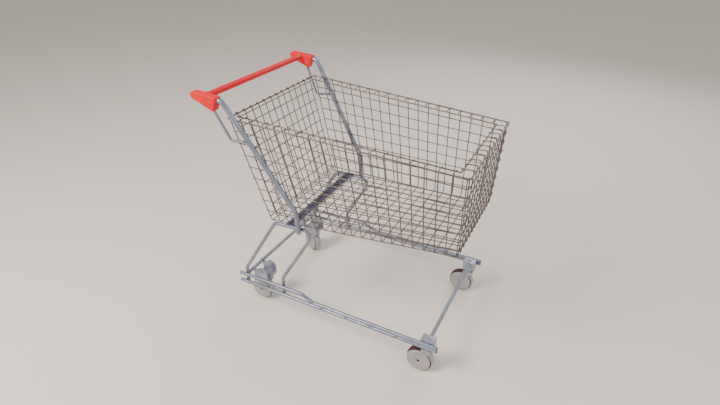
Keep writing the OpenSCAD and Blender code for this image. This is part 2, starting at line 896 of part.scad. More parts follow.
// tyre with rounded shoulders
module tyre() {
    inner = wheel_d / 2 - rubber_depth + seat;
    outer = wheel_d / 2;
    half = tyre_width / 2;
    translate([-trail, 0, axle_z])
        rotate([90, 0, 0])
            rotate_extrude()
                polygon([
                    [inner, -half], [outer - 5, -half], [outer - 1.5, -half + 2.5], [outer, -half + 6],
                    [outer, half - 6], [outer - 1.5, half - 2.5], [outer - 5, half], [inner, half]
                ]);
}

rear_right_stem = [rear_stem[0], -rear_stem[1]];
front_right_stem = [front_stem[0], -front_stem[1]];

module fork_front_left() {
    color("silver") caster_place(front_stem, 0) fork();
}

module fork_front_right() {
    color("silver") caster_place(front_right_stem, 0) fork();
}

module fork_rear_left() {
    color("silver") caster_place(rear_stem, -rear_left_turn) fork();
}

module fork_rear_right() {
    color("silver") caster_place(rear_right_stem, 0) fork();
}

module guards_front_left() {
    color("gainsboro") caster_place(front_stem, 0) guards();
}

module guards_front_right() {
    color("gainsboro") caster_place(front_right_stem, 0) guards();
}

module guards_rear_left() {
    color("gainsboro") caster_place(rear_stem, -rear_left_turn) guards();
}

module guards_rear_right() {
    color("gainsboro") caster_place(rear_right_stem, 0) guards();
}

module hub_front_left() {
    color("gray") caster_place(front_stem, 0) hub();
}

module hub_front_right() {
    color("gray") caster_place(front_right_stem, 0) hub();
}

module hub_rear_left() {
    color("gray") caster_place(rear_stem, -rear_left_turn) hub();
}

module hub_rear_right() {
    color("gray") caster_place(rear_right_stem, 0) hub();
}

module tyre_front_left() {
    color("maroon") caster_place(front_stem, 0) tyre();
}

module tyre_front_right() {
    color("maroon") caster_place(front_right_stem, 0) tyre();
}

module tyre_rear_left() {
    color("maroon") caster_place(rear_stem, -rear_left_turn) tyre();
}

module tyre_rear_right() {
    color("maroon") caster_place(rear_right_stem, 0) tyre();
}

handle_core();
handle_grip();
handle_cap_left();
handle_cap_right();
side_tube_left();
side_tube_right();
handle_brace_left();
handle_brace_right();
basket_frame_left();
basket_frame_right();
cross_plate();
lower_rail_left();
lower_rail_right();
upper_rail_left();
upper_rail_right();
rail_plugs();
front_cross_tube();
rear_cross_tube();
rim_side_wires();
rim_front_wire();
rim_rear_wire();
rim_corner_bends();
inner_rim_side_wires();
inner_rim_front_wire();
floor_cross_wires();
floor_long_wires();
side_uprights();
rib_corner_bends();
side_hooks();
side_wires();
front_wires();
front_corner_bends();
front_uprights();
front_foot_bends();
front_hooks();
gate_stop_wire();
gate_uprights();
gate_wires();
gate_hooks();
front_caster_heads();
rear_caster_heads();
fork_front_left();
fork_front_right();
fork_rear_left();
fork_rear_right();
guards_front_left();
guards_front_right();
guards_rear_left();
guards_rear_right();
hub_front_left();
hub_front_right();
hub_rear_left();
hub_rear_right();
tyre_front_left();
tyre_front_right();
tyre_rear_left();
tyre_rear_right();
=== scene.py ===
import json
import math
import random

import bmesh
import bpy
import numpy as np
from mathutils import Matrix, Vector
from mathutils.geometry import intersect_line_line

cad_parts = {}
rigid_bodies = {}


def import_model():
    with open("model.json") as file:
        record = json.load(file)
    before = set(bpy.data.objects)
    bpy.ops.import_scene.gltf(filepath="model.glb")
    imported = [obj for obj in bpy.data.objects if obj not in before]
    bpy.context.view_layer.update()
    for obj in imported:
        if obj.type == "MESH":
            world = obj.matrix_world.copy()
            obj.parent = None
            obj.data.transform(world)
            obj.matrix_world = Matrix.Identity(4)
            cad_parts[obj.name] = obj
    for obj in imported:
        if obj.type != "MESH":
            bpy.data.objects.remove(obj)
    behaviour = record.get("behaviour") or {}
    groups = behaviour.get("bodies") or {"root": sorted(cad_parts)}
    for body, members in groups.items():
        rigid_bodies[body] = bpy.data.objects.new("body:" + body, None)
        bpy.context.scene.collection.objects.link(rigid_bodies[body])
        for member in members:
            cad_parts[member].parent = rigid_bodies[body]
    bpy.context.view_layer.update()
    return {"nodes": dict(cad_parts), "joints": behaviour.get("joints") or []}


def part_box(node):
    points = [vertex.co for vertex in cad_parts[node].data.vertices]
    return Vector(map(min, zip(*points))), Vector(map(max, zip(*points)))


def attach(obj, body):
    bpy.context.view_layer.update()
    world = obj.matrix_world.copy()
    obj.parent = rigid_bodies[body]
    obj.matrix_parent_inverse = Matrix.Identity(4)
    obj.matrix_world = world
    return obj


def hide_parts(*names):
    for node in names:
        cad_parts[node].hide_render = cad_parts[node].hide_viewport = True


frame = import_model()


# ---- chassis rails ----
# Two round steel tubes lie one above the other along each side. The upper one is joggled up at the
# rear, where the casters' cross tube sits. They are tack-welded together, zinc plated and lacquered.

MM = 0.001
X, Y, Z = Vector((1, 0, 0)), Vector((0, 1, 0)), Vector((0, 0, 1))
SIDES = {"left": 1, "right": -1}
TUBE_SIDES = 24
random.seed(7)


class Tone:
    """A value or colour that varies over a surface: one output of a shader node."""

    def __init__(self, finish, socket):
        self.finish = finish
        self.socket = socket

    def sum_up(self, operation, first, second):
        return self.finish.node("ShaderNodeMath", {"operation": operation}, {0: first, 1: second})

    def __add__(self, other):
        return self.sum_up("ADD", self, other)

    def __radd__(self, other):
        return self.sum_up("ADD", other, self)

    def __sub__(self, other):
        return self.sum_up("SUBTRACT", self, other)

    def __rsub__(self, other):
        return self.sum_up("SUBTRACT", other, self)

    def __mul__(self, other):
        return self.sum_up("MULTIPLY", self, other)

    def __rmul__(self, other):
        return self.sum_up("MULTIPLY", other, self)


class Finish:
    """One material, built up from shader nodes. Fixed values go on the shader's own sockets."""

    def __init__(self, name, **fixed):
        self.material = bpy.data.materials.new(name)
        self.material.use_nodes = True
        self.tree = self.material.node_tree
        self.shader = self.tree.nodes["Principled BSDF"]
        for socket, value in fixed.items():
            self.shader.inputs[socket.replace("_", " ")].default_value = value
        self.place = self.node("ShaderNodeTexCoord", {}, {}, "Object")

    def node(self, kind, settings, sockets, output=0):
        made = self.tree.nodes.new(kind)
        for setting, value in settings.items():
            setattr(made, setting, value)
        for socket, value in sockets.items():
            self.feed(made.inputs[socket], value)
        return Tone(self, made.outputs[output])

    def feed(self, socket, value):
        if isinstance(value, Tone):
            self.tree.links.new(value.socket, socket)
        else:
            socket.default_value = value

    def noise(self, scale, detail=3.0, stretch=(1, 1, 1)):
        where = self.node("ShaderNodeVectorMath", {"operation": "MULTIPLY"}, {0: self.place, 1: stretch})
        return self.node("ShaderNodeTexNoise", {}, {"Vector": where, "Scale": scale, "Detail": detail})

    def above(self, tone, low, high):
        """0 where the tone is under low, 1 where it is over high."""
        return self.node("ShaderNodeMapRange", {}, {"Value": tone, "From Min": low, "From Max": high})

    def mix(self, mask, first, second):
        return self.node("ShaderNodeMix", {"data_type": "RGBA"}, {0: mask, 6: first, 7: second}, 2)

    def edges(self, low, high):
        """1 on outer edges, where handling rubs the surface."""
        bent = self.node("ShaderNodeNewGeometry", {}, {}, "Pointiness")
        return self.above(bent, low, high)

    def surface(self, colour, roughness, height, depth, metallic=None):
        bump = self.node("ShaderNodeBump", {}, {"Height": height, "Distance": depth, "Strength": 0.6})
        self.feed(self.shader.inputs["Base Color"], colour)
        self.feed(self.shader.inputs["Roughness"], roughness)
        self.feed(self.shader.inputs["Normal"], bump)
        if metallic is not None:
            self.feed(self.shader.inputs["Metallic"], metallic)
        return self.material


def plated_steel(name, pale, deep, dust, roughness, metallic):
    """Zinc plate under a clear lacquer: cloudy tone, fine drawn grain, rubbed spots and dull dust."""
    finish = Finish(name, Coat_Weight=0.25, Coat_Roughness=0.22)
    cloud = finish.noise(14, 4)
    patch = finish.noise(48, 5)
    grain = finish.noise(900, 2)
    scuff = finish.above(finish.noise(130, 6), 0.60, 0.72)
    grime = finish.above(finish.noise(30, 6), 0.52, 0.75)
    colour = finish.mix(finish.above(0.6 * cloud + 0.4 * patch, 0.38, 0.62), pale, deep)
    colour = finish.mix(grime * 0.55, colour, dust)
    colour = finish.mix(scuff * 0.35, colour, tuple(min(1, 1.35 * c) for c in pale[:3]) + (1,))
    rough = roughness + 0.16 * grime + 0.10 * (patch - 0.5) + 0.06 * grain
    height = 0.7 * grain + 0.5 * patch + 0.3 * scuff
    return finish.surface(colour, rough, height, 0.00012, metallic - 0.45 * grime)


tube_finish = plated_steel(
    "lacquered_tube",
    pale=(0.29, 0.315, 0.39, 1),
    deep=(0.185, 0.20, 0.265, 1),
    dust=(0.20, 0.185, 0.18, 1),
    roughness=0.30,
    metallic=0.62,
)
weld_finish = plated_steel(
    "weld_seam",
    pale=(0.30, 0.31, 0.36, 1),
    deep=(0.15, 0.15, 0.18, 1),
    dust=(0.13, 0.11, 0.10, 1),
    roughness=0.42,
    metallic=0.55,
)


class Shape:
    """The corner points and faces of one piece, gathered bit by bit."""

    def __init__(self):
        self.points = []
        self.faces = []

    def loft(self, rings, loop=False):
        """Skin over rings of points. The first and last ring are closed unless they form a loop."""
        first = len(self.points)
        count = len(rings[0])
        for ring in rings:
            self.points += [tuple(p) for p in ring]
        for i in range(len(rings) if loop else len(rings) - 1):
            here = first + i * count
            there = first + (i + 1) % len(rings) * count
            for k in range(count):
                n = (k + 1) % count
                self.faces.append((here + k, here + n, there + n, there + k))
        if not loop:
            last = first + (len(rings) - 1) * count
            self.faces.append(tuple(first + k for k in reversed(range(count))))
            self.faces.append(tuple(last + k for k in range(count)))

    def bar(self, points, radius, sides=16, loop=False):
        """A round bar along the points. Its radius is one number or one for each point."""
        radii = radius if isinstance(radius, list) else [radius] * len(points)
        points = [Vector(p) for p in points]
        if not loop and not isinstance(radius, list):
            ease = 0.3 * radius
            start = points[0] + (points[1] - points[0]).normalized() * ease
            end = points[-1] + (points[-2] - points[-1]).normalized() * ease
            points = [points[0], start, *points[1:-1], end, points[-1]]
            radii = [0.72 * radius, *[radius] * len(points[2:]), 0.72 * radius]
        rings = []
        side = None
        for i, point in enumerate(points):
            before = points[i - 1] if i or loop else point
            after = points[(i + 1) % len(points)] if i < len(points) - 1 or loop else point
            along = (after - before).normalized()
            if side is None:
                side = along.cross(Z if abs(along.z) < 0.8 else X).normalized()
            side = (side - along * side.dot(along)).normalized()
            up = along.cross(side)
            angles = [2 * math.pi * k / sides for k in range(sides)]
            rings.append([point + radii[i] * (math.cos(a) * side + math.sin(a) * up) for a in angles])
        self.loft(rings, loop)

    def bead(self, start, end, radius):
        """A short weld bead with the ripples that the torch leaves."""
        start, end = Vector(start), Vector(end)
        steps = max(8, int((end - start).length / (0.45 * radius)))
        points = [start.lerp(end, i / steps) for i in range(steps + 1)]
        radii = [
            radius * math.sqrt(max(0.04, 1 - (2 * i / steps - 1) ** 2)) * (1 + 0.10 * (-1) ** i)
            for i in range(steps + 1)
        ]
        self.bar(points, radii, 10)

    def ring_bead(self, middle, axis, across, radius, ripples=0.12):
        """A weld bead all round a tube."""
        axis = Vector(axis).normalized()
        side = axis.orthogonal().normalized()
        up = axis.cross(side)
        steps = 2 * int(math.pi * across / (1.1 * radius))
        angles = [2 * math.pi * i / steps for i in range(steps)]
        points = [Vector(middle) + across * (math.cos(a) * side + math.sin(a) * up) for a in angles]
        radii = [radius * (1 + ripples * (-1) ** i + random.uniform(-0.05, 0.05)) for i in range(steps)]
        self.bar(points, radii, 8, loop=True)

    def lathe(self, outline, axis_point, axis, sides=48, loop=False):
        """Turn an outline of (distance along the axis, radius) about the axis."""
        axis = Vector(axis).normalized()
        side = axis.orthogonal().normalized()
        up = axis.cross(side)
        angles = [2 * math.pi * k / sides for k in range(sides)]
        spokes = [math.cos(a) * side + math.sin(a) * up for a in angles]
        foot = Vector(axis_point)
        self.loft([[foot + axis * along + r * s for s in spokes] for along, r in outline], loop)

    def slab(self, outline, thick, edge, groove=0):
        """A plate or block with rounded edges, and a groove round its middle if one is given."""
        outline = [Vector(p) for p in outline]
        normal = Vector(thick).normalized()
        turn = sum((a.cross(b) for a, b in zip(outline, outline[1:] + outline[:1])), Vector())
        if turn.dot(normal) < 0:
            outline.reverse()
        inward = []
        for i, point in enumerate(outline):
            before = normal.cross((point - outline[i - 1]).normalized())
            after = normal.cross((outline[(i + 1) % len(outline)] - point).normalized())
            inward.append((before + after) / max(0.3, 1 + before.dot(after)))
        depth = Vector(thick).length
        steps = [i * math.pi / 8 for i in range(5)]
        curl = [(edge * (1 - math.sin(a)), edge * (1 - math.cos(a))) for a in steps]
        middle = [(0, -1.6), (1, -0.8), (1, 0.8), (0, 1.6)] if groove else []
        parting = [(groove * inset, depth / 2 + groove * level) for inset, level in middle]
        levels = curl + parting + [(inset, depth - level) for inset, level in reversed(curl)]
        self.loft([
            [p + n * inset + normal * level for p, n in zip(outline, inward)] for inset, level in levels
        ])


def piece(name, shape, material, place=None):
    """An object made of the shape, smooth except across sharp edges."""
    mesh = bpy.data.meshes.new(name)
    mesh.from_pydata(shape.points, [], shape.faces)
    work = bmesh.new()
    work.from_mesh(mesh)
    bmesh.ops.recalc_face_normals(work, faces=work.faces)
    work.to_mesh(mesh)
    work.free()
    mesh.polygons.foreach_set("use_smooth", [True] * len(mesh.polygons))
    mesh.set_sharp_from_angle(angle=math.radians(38))
    mesh.materials.append(material)
    made = bpy.data.objects.new(name, mesh)
    bpy.context.collection.objects.link(made)
    if place is not None:
        made.matrix_world = place
    return made


def bends(corners, radii, loop=False, steps=7):
    """Points of a path through the corners, with a round bend of the given radius at each."""
    count = len(corners)
    points = []
    for i, corner in enumerate(corners):
        if radii[i] == 0:
            points.append(corner)
            continue
        before = (corners[i - 1] - corner).normalized()
        after = (corners[(i + 1) % count] - corner).normalized()
        turn = math.pi - before.angle(after)
        radius = radii[i]
        middle = corner + (before + after).normalized() * radius / math.cos(turn / 2)
        start = corner + before * radius * math.tan(turn / 2) - middle
        end = corner + after * radius * math.tan(turn / 2) - middle
        for s in range(steps + 1):
            rest, gone = (1 - s / steps) * turn, s / steps * turn
            points.append(middle + (start * math.sin(rest) + end * math.sin(gone)) / math.sin(turn))
    return points


rail_low, rail_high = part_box("lower_rail_left")
rail_r = (rail_high.z - rail_low.z) / 2
rail_y = (rail_low.y + rail_high.y) / 2
rail_z = (rail_low.z + rail_high.z) / 2
upper_low, upper_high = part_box("upper_rail_left")
upper_z = upper_low.z + rail_r
joggle_start = 322 * MM
joggle_run = 61 * MM
joggle_bend = 30 * MM
first_tack = 30 * MM
tack_pitch = 112 * MM
tack_length = 16 * MM

for side, way in SIDES.items():
    rail = Shape()
    rail.bar([(rail_low.x, way * rail_y, rail_z), (rail_high.x, way * rail_y, rail_z)], rail_r, TUBE_SIDES)
    lower_rail = piece(f"lower_rail_tube_{side}", rail, tube_finish)
    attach(lower_rail, "cart")
    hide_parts(f"lower_rail_{side}")

    joggle = upper_low.x + joggle_start
    corners = [
        Vector((upper_low.x, way * rail_y, upper_high.z - rail_r)),
        Vector((joggle, way * rail_y, upper_high.z - rail_r)),
        Vector((joggle + joggle_run, way * rail_y, upper_z)),
        Vector((upper_high.x, way * rail_y, upper_z)),
    ]
    rail = Shape()
    rail.bar(bends(corners, [0, joggle_bend, joggle_bend, 0]), rail_r, TUBE_SIDES)
    upper_rail = piece(f"upper_rail_tube_{side}", rail, tube_finish)
    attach(upper_rail, "cart")
    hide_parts(f"upper_rail_{side}")

    tacks = Shape()
    for k in range(4):
        x = joggle + joggle_run + first_tack + k * tack_pitch
        for face in (-1, 1):
            seam = Vector((x, way * rail_y + face * 0.52 * rail_r, rail_z + rail_r))
            tacks.bead(seam, seam + tack_length * X, 2.6 * MM)
    rail_tacks = piece(f"rail_tacks_{side}", tacks, weld_finish)
    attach(rail_tacks, "cart")


# ---- rail end plugs ----
# A moulded plug closes each open end of the rails. It is grey polyethylene, pressed in by hand, with
# a slightly domed head and a small step where it meets the tube.

def moulded_plastic(name, colour, deep, roughness, wear, grain=700):
    """Moulded plastic: faint flow clouds, fine spark grain, pale scuffs and rubbed edges."""
    finish = Finish(name, Specular_IOR_Level=0.35)
    cloud = finish.noise(22, 3)
    spark = finish.noise(grain, 2)
    scuff = finish.above(finish.noise(70, 7, (1, 0.35, 1)), 0.60, 0.70)
    rub = finish.edges(0.52, 0.60)
    tint = finish.mix(finish.above(cloud, 0.35, 0.65), colour, deep)
    tint = finish.mix(scuff * 0.22, tint, wear)
    tint = finish.mix(rub * 0.18, tint, wear)
    rough = roughness + 0.16 * scuff + 0.10 * spark - 0.08 * rub
    return finish.surface(tint, rough, spark + 0.4 * scuff, 0.00010)


plug_finish = moulded_plastic(
    "grey_plug", (0.16, 0.16, 0.18, 1), (0.11, 0.11, 0.125, 1), 0.48, (0.34, 0.34, 0.36, 1)
)
plug_low, plug_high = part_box("rail_plugs")
plugs = Shape()
for way in SIDES.values():
    for end, x, height in (
        (1, plug_high.x, rail_z), (1, plug_high.x, upper_z),
        (-1, plug_low.x, rail_z), (-1, plug_low.x, upper_high.z - rail_r),
    ):
        face = Vector((x, way * rail_y, height))
        head = [(0, 0.1 * rail_r), (0.1 * MM, 0.45 * rail_r)]
        head += [(0.35 * MM, 0.75 * rail_r), (1.0 * MM, 0.93 * rail_r)]
        step = [(1.6 * MM, rail_r), (2.05 * MM, rail_r), (2.1 * MM, 0.8 * rail_r), (10 * MM, 0.78 * rail_r)]
        plugs.lathe(head + step, face, -end * X, 28)
plug_piece = piece("rail_end_plugs", plugs, plug_finish)
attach(plug_piece, "cart")
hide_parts("rail_plugs")


# ---- cross tubes ----
# One round tube joins the front caster heads and another, a little higher, joins the rear struts.
# Both are sawn square and welded at their ends with a bead all round.

def tube_ends(node, way):
    """The middle of the tube's two end faces, and its radius, for a tube along the given axis."""
    low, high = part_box(node)
    middle = (low + high) / 2
    half = (high - low).dot(way) / 2
    return middle - half * way, middle + half * way, (high - low).z / 2


front_start, front_end, cross_r = tube_ends("front_cross_tube", Y)
rear_start, rear_end, _ = tube_ends("rear_cross_tube", Y)

for name, start, end in (("front", front_start, front_end), ("rear", rear_start, rear_end)):
    tube = Shape()
    tube.bar([start, end], cross_r, TUBE_SIDES)
    cross = piece(f"{name}_cross_bar", tube, tube_finish)
    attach(cross, "cart")
    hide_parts(f"{name}_cross_tube")

seams = Shape()
for start in (front_start, front_end, rear_start, rear_end):
    inward = -Y if start.y > 0 else Y
    seams.ring_bead(start + 1.4 * MM * inward, Y, cross_r + 0.6 * MM, 1.9 * MM)
cross_seams = piece("cross_bar_welds", seams, weld_finish)
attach(cross_seams, "cart")


# ---- front caster heads ----
# A folded steel box on the inside of each rail carries the front caster's stem. Its corners are
# rounded by the press, a washer and a domed rivet hold the stem, and short beads weld it to the rail.

def box_outline(x0, x1, y0, y1, z, corner, steps=4):
    corners = [Vector((x0, y0, z)), Vector((x1, y0, z)), Vector((x1, y1, z)), Vector((x0, y1, z))]
    return bends(corners, [corner] * 4, loop=True, steps=steps)


bracket_finish = plated_steel(
    "zinc_bracket",
    pale=(0.40, 0.42, 0.49, 1),
    deep=(0.29, 0.30, 0.36, 1),
    dust=(0.22, 0.20, 0.19, 1),
    roughness=0.36,
    metallic=0.58,
)
heads_low, heads_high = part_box("front_caster_heads")
swivels = {j["child"]: Vector(j["pos_m"]) for j in frame["joints"] if j["name"].startswith("swivel")}
rivet = [(0, 5.2), (0.8, 5.1), (1.8, 4.4), (2.5, 3.0), (2.8, 1.3), (2.85, 0.1)]
washer = [(0, 0.5), (0, 9.2), (0.3, 9.6), (0.9, 9.6), (1.2, 9.2), (1.2, 0.5)]

for side, way in SIDES.items():
    head = Shape()
    inner, outer = way * front_end.y, way * heads_high.y
    low_y, high_y = min(inner, outer), max(inner, outer)
    plan = box_outline(heads_low.x, heads_high.x, low_y, high_y, heads_low.z, 4 * MM)
    head.slab(plan, (heads_high.z - heads_low.z) * Z, 1.6 * MM)
    stem = swivels[f"fork_front_{side}"]
    top = Vector((stem.x, stem.y, heads_high.z - 0.1 * MM))
    head.lathe([(a * MM, r * MM) for a, r in washer], top, Z, 36)
    head.lathe([(a * MM + 1.1 * MM, r * MM) for a, r in rivet], top, Z, 28)
    front_head = piece(f"front_caster_box_{side}", head, bracket_finish)
    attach(front_head, "cart")
    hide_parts("front_caster_heads")

    seams = Shape()
    for x in (heads_low.x + 9 * MM, heads_high.x - 21 * MM):
        start = Vector((x, outer, heads_high.z - 1.2 * MM))
        seams.bead(start, start + 13 * MM * X, 2.3 * MM)
    head_seams = piece(f"front_box_welds_{side}", seams, weld_finish)
    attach(head_seams, "cart")


# ---- rear caster brackets ----
# Two pressed cheeks with cut corners hang on the rear cross tube, with a floor plate and a thick socket
# for the stem between them. A cross bolt pulls the cheeks together.

def arc(x, z, radius, start, end, steps):
    angles = [math.radians(start + (end - start) * i / steps) for i in range(steps + 1)]
    return [(x + radius * math.cos(a), z + radius * math.sin(a)) for a in angles]


brackets_low, brackets_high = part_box("rear_caster_heads")
cheek_thick = 4 * MM
cheek_r = 26 * MM
collar_r = cross_r + 4 * MM
bracket_floor = 5 * MM
socket_r = 14 * MM
socket_height = 32 * MM
hex_head = [(0, 5.0), (0.4, 5.6), (3.2, 5.6), (3.8, 4.9), (3.9, 0.2)]

for side, way in SIDES.items():
    stem = swivels[f"fork_rear_{side}"]
    foot = brackets_low.z
    crown = brackets_high.z - cheek_r
    tube_x, tube_z = rear_start.x, rear_start.z
    tilt = math.degrees(math.asin((tube_z - crown) / cheek_r))
    edge = [(stem.x + cheek_r, foot), *arc(stem.x, crown, cheek_r, 0, 180 - tilt, 5)]
    edge += [*arc(tube_x, tube_z, collar_r, 0, 270, 14), (tube_x, foot)]
    bracket = Shape()
    half_gap = brackets_high.y - abs(stem.y) - cheek_thick
    for face in (-1, 1):
        near = stem.y + face * half_gap
        bracket.slab([(x, near, z) for x, z in edge], face * cheek_thick * Y, 0.9 * MM)
    plan = box_outline(
        tube_x, stem.x + cheek_r, stem.y - half_gap - 0.5 * MM, stem.y + half_gap + 0.5 * MM, foot, 1.5 * MM
    )
    bracket.slab(plan, bracket_floor * Z, 0.8 * MM)
    socket = [
        (0, 0.5 * MM), (0, socket_r), (socket_height - 2 * MM, socket_r), (socket_height, socket_r - 2 * MM),
        (socket_height, 6.5 * MM), (socket_height - 3 * MM, 6 * MM), (socket_height - 3 * MM, 0.5 * MM),
    ]
    bracket.lathe(socket, (stem.x, stem.y, foot), Z, 40)
    rear_bracket = piece(f"rear_caster_bracket_{side}", bracket, bracket_finish)
    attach(rear_bracket, "cart")
    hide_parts("rear_caster_heads")

    fixings = Shape()
    for face in (-1, 1):
        outside = stem.y + face * (half_gap + cheek_thick)
        bolt = (stem.x, outside, crown + 6 * MM)
        fixings.lathe([(a * MM, r * MM) for a, r in hex_head], bolt, face * Y, 6)
        bolt_washer = [(0, 7.5 * MM), (0.8 * MM, 7.4 * MM), (0.9 * MM, 0.3 * MM)]
        fixings.lathe(bolt_washer, bolt, face * Y, 28)
        for gap in (half_gap, half_gap + cheek_thick):
            fixings.ring_bead((tube_x, stem.y + face * gap, tube_z), Y, cross_r + 0.6 * MM, 1.7 * MM)
    cheek_fixings = piece(f"rear_bracket_fixings_{side}", fixings, weld_finish)
    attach(cheek_fixings, "cart")


# ---- casters ----
# Each caster turns on a ball race under its head. A pressed fork holds a solid rubber tyre on a
# plastic hub, and a dished grey disc covers it on both sides.
# A thin shield joins the discs over the front of the tread.

def pressed_fork(axle, wheel_r):
    fork = Shape()
    crown_z = 2 * wheel_r + 6 * MM
    leg_face = 12.5 * MM
    leg_thick = 3 * MM
    crown_half = 22 * MM
    leg = [(crown_half, crown_z + 4 * MM), (-crown_half, crown_z + 4 * MM)]
    leg += arc(axle.x, axle.z, 14 * MM, 172, 368, 16)
    for face in (-1, 1):
        fork.slab([(x, face * leg_face, z) for x, z in leg], face * leg_thick * Y, 0.8 * MM)
    plan = box_outline(-crown_half, crown_half, -leg_face - 1 * MM, leg_face + 1 * MM, crown_z, 2 * MM)
    fork.slab(plan, 4 * MM * Z, 0.8 * MM)
    race = [
        (4.0, 0.5), (4.0, 15.2), (4.6, 15.5), (8.4, 15.5), (8.9, 15.0), (9.1, 13.8), (9.8, 13.8),
        (10.0, 15.0), (10.5, 15.5), (15.4, 15.5), (15.85, 15.1), (15.9, 6.1), (44.0, 6.0), (44.0, 0.5),
    ]
    fork.lathe([(a * MM, r * MM) for a, r in race], (0, 0, crown_z), Z, 44)
    return fork


def dished_disc(axle, face, way, radius):
    disc = Shape()
    step = (
        (0, 0.01), (0, 0.984), (0.4, 0.996), (1.1, 1.0), (1.8, 0.994), (3.5, 0.970), (4.5, 0.944),
        (5.0, 0.910), (5.2, 0.80), (5.45, 0.60), (5.75, 0.42), (5.85, 0.37), (5.6, 0.345),
        (4.6, 0.305), (4.15, 0.27),
        (4.0, 0.22), (4.0, 0.01),
    )
    disc.lathe([(a * MM, r * radius) for a, r in step], axle + way * face * Y, way * Y, 72)
    return disc


def front_shield(axle, wheel_r):
    """A thin curved strip over the front of the tread, between the two discs."""
    half = [(15.4, 0.9), (15.4, 2.0), (14.0, 2.7), (5.0, 3.0)]
    profile = half + [(-across, reach) for across, reach in reversed(half)]
    rings = []
    for k in range(25):
        turn = math.radians(-38 + 113 * k / 24)
        out = Vector((math.cos(turn), 0, math.sin(turn)))
        rings.append([axle + (wheel_r + reach * MM) * out + across * MM * Y for across, reach in profile])
    strip = Shape()
    strip.loft(rings)
    return strip


def plastic_hub(axle, tyre_bore):
    hub = Shape()
    half = [(12.1, 4.2), (12.1, 11.4), (11.5, 12.0), (7.2, 12.6)]
    half += [(5.2, 16), (4.6, 30), (6.4, 33.6), (8, 34.4)]
    rim = tyre_bore / MM
    front = [(a * MM, r * MM) for a, r in half] + [(8 * MM, (rim - 0.4) * MM), (7.6 * MM, rim * MM)]
    hub.lathe(front + [(-a, r) for a, r in reversed(front)], axle, Y, 56, loop=True)
    for k in range(6):
        turn = Matrix.Rotation(math.radians(60 * k), 3, "Y")
        for face in (-1, 1):
            spoke = [turn @ Vector((x, 0, z)) for x, z in ((-1.5, 12), (1.5, 12), (1.2, 33.5), (-1.2, 33.5))]
            foot = [axle + MM * p + face * 4 * MM * Y for p in spoke]
            hub.slab(foot, face * 3 * MM * Y, 0.4 * MM)
    return hub


def rubber_tyre(axle, bore, radius, half_width):
    tyre = Shape()
    top, wide = radius / MM, half_width / MM
    half = [
        (wide, bore / MM), (wide, top - 6), (wide - 0.5, top - 3.4), (wide - 1.7, top - 1.5),
        (wide - 3.6, top - 0.4), (wide - 5.6, top), (wide - 6.6, top), (wide - 7.0, top - 0.7),
        (wide - 7.9, top - 0.7), (wide - 8.3, top),
    ]
    front = [(a * MM, r * MM) for a, r in half]
    tyre.lathe(front + [(-a, r) for a, r in reversed(front)], axle, Y, 80, loop=True)
    return tyre


fork_finish = plated_steel(
    "zinc_fork",
    pale=(0.44, 0.46, 0.52, 1),
    deep=(0.31, 0.32, 0.38, 1),
    dust=(0.20, 0.17, 0.16, 1),
    roughness=0.32,
    metallic=0.66,
)
bolt_finish = plated_steel(
    "dark_bolt",
    pale=(0.075, 0.050, 0.050, 1),
    deep=(0.045, 0.030, 0.030, 1),
    dust=(0.110, 0.080, 0.070, 1),
    roughness=0.45,
    metallic=0.45,
)
disc_finish = moulded_plastic(
    "grey_disc", (0.42, 0.385, 0.385, 1), (0.34, 0.315, 0.32, 1), 0.44, (0.56, 0.54, 0.53, 1), 520
)
hub_finish = moulded_plastic(
    "hub_plastic", (0.20, 0.19, 0.19, 1), (0.15, 0.14, 0.14, 1), 0.50, (0.36, 0.34, 0.33, 1)
)


def tyre_rubber():
    """Brownish red rubber: matt and dusty, with crumbs of dirt pressed into the tread."""
    finish = Finish("tyre_rubber", Specular_IOR_Level=0.35)
    cloud = finish.noise(34, 4)
    crumb = finish.above(finish.noise(420, 5), 0.56, 0.66)
    dust = finish.above(finish.noise(60, 6), 0.46, 0.70)
    colour = finish.mix(cloud, (0.052, 0.017, 0.015, 1), (0.090, 0.034, 0.028, 1))
    colour = finish.mix(dust * 0.4, colour, (0.16, 0.11, 0.095, 1))
    colour = finish.mix(crumb * 0.4, colour, (0.05, 0.035, 0.03, 1))
    return finish.surface(colour, 0.66 + 0.2 * dust, cloud + 0.8 * crumb, 0.00022)


rubber_finish = tyre_rubber()
spins = {j["parent"]: j for j in frame["joints"] if j["name"].startswith("spin")}

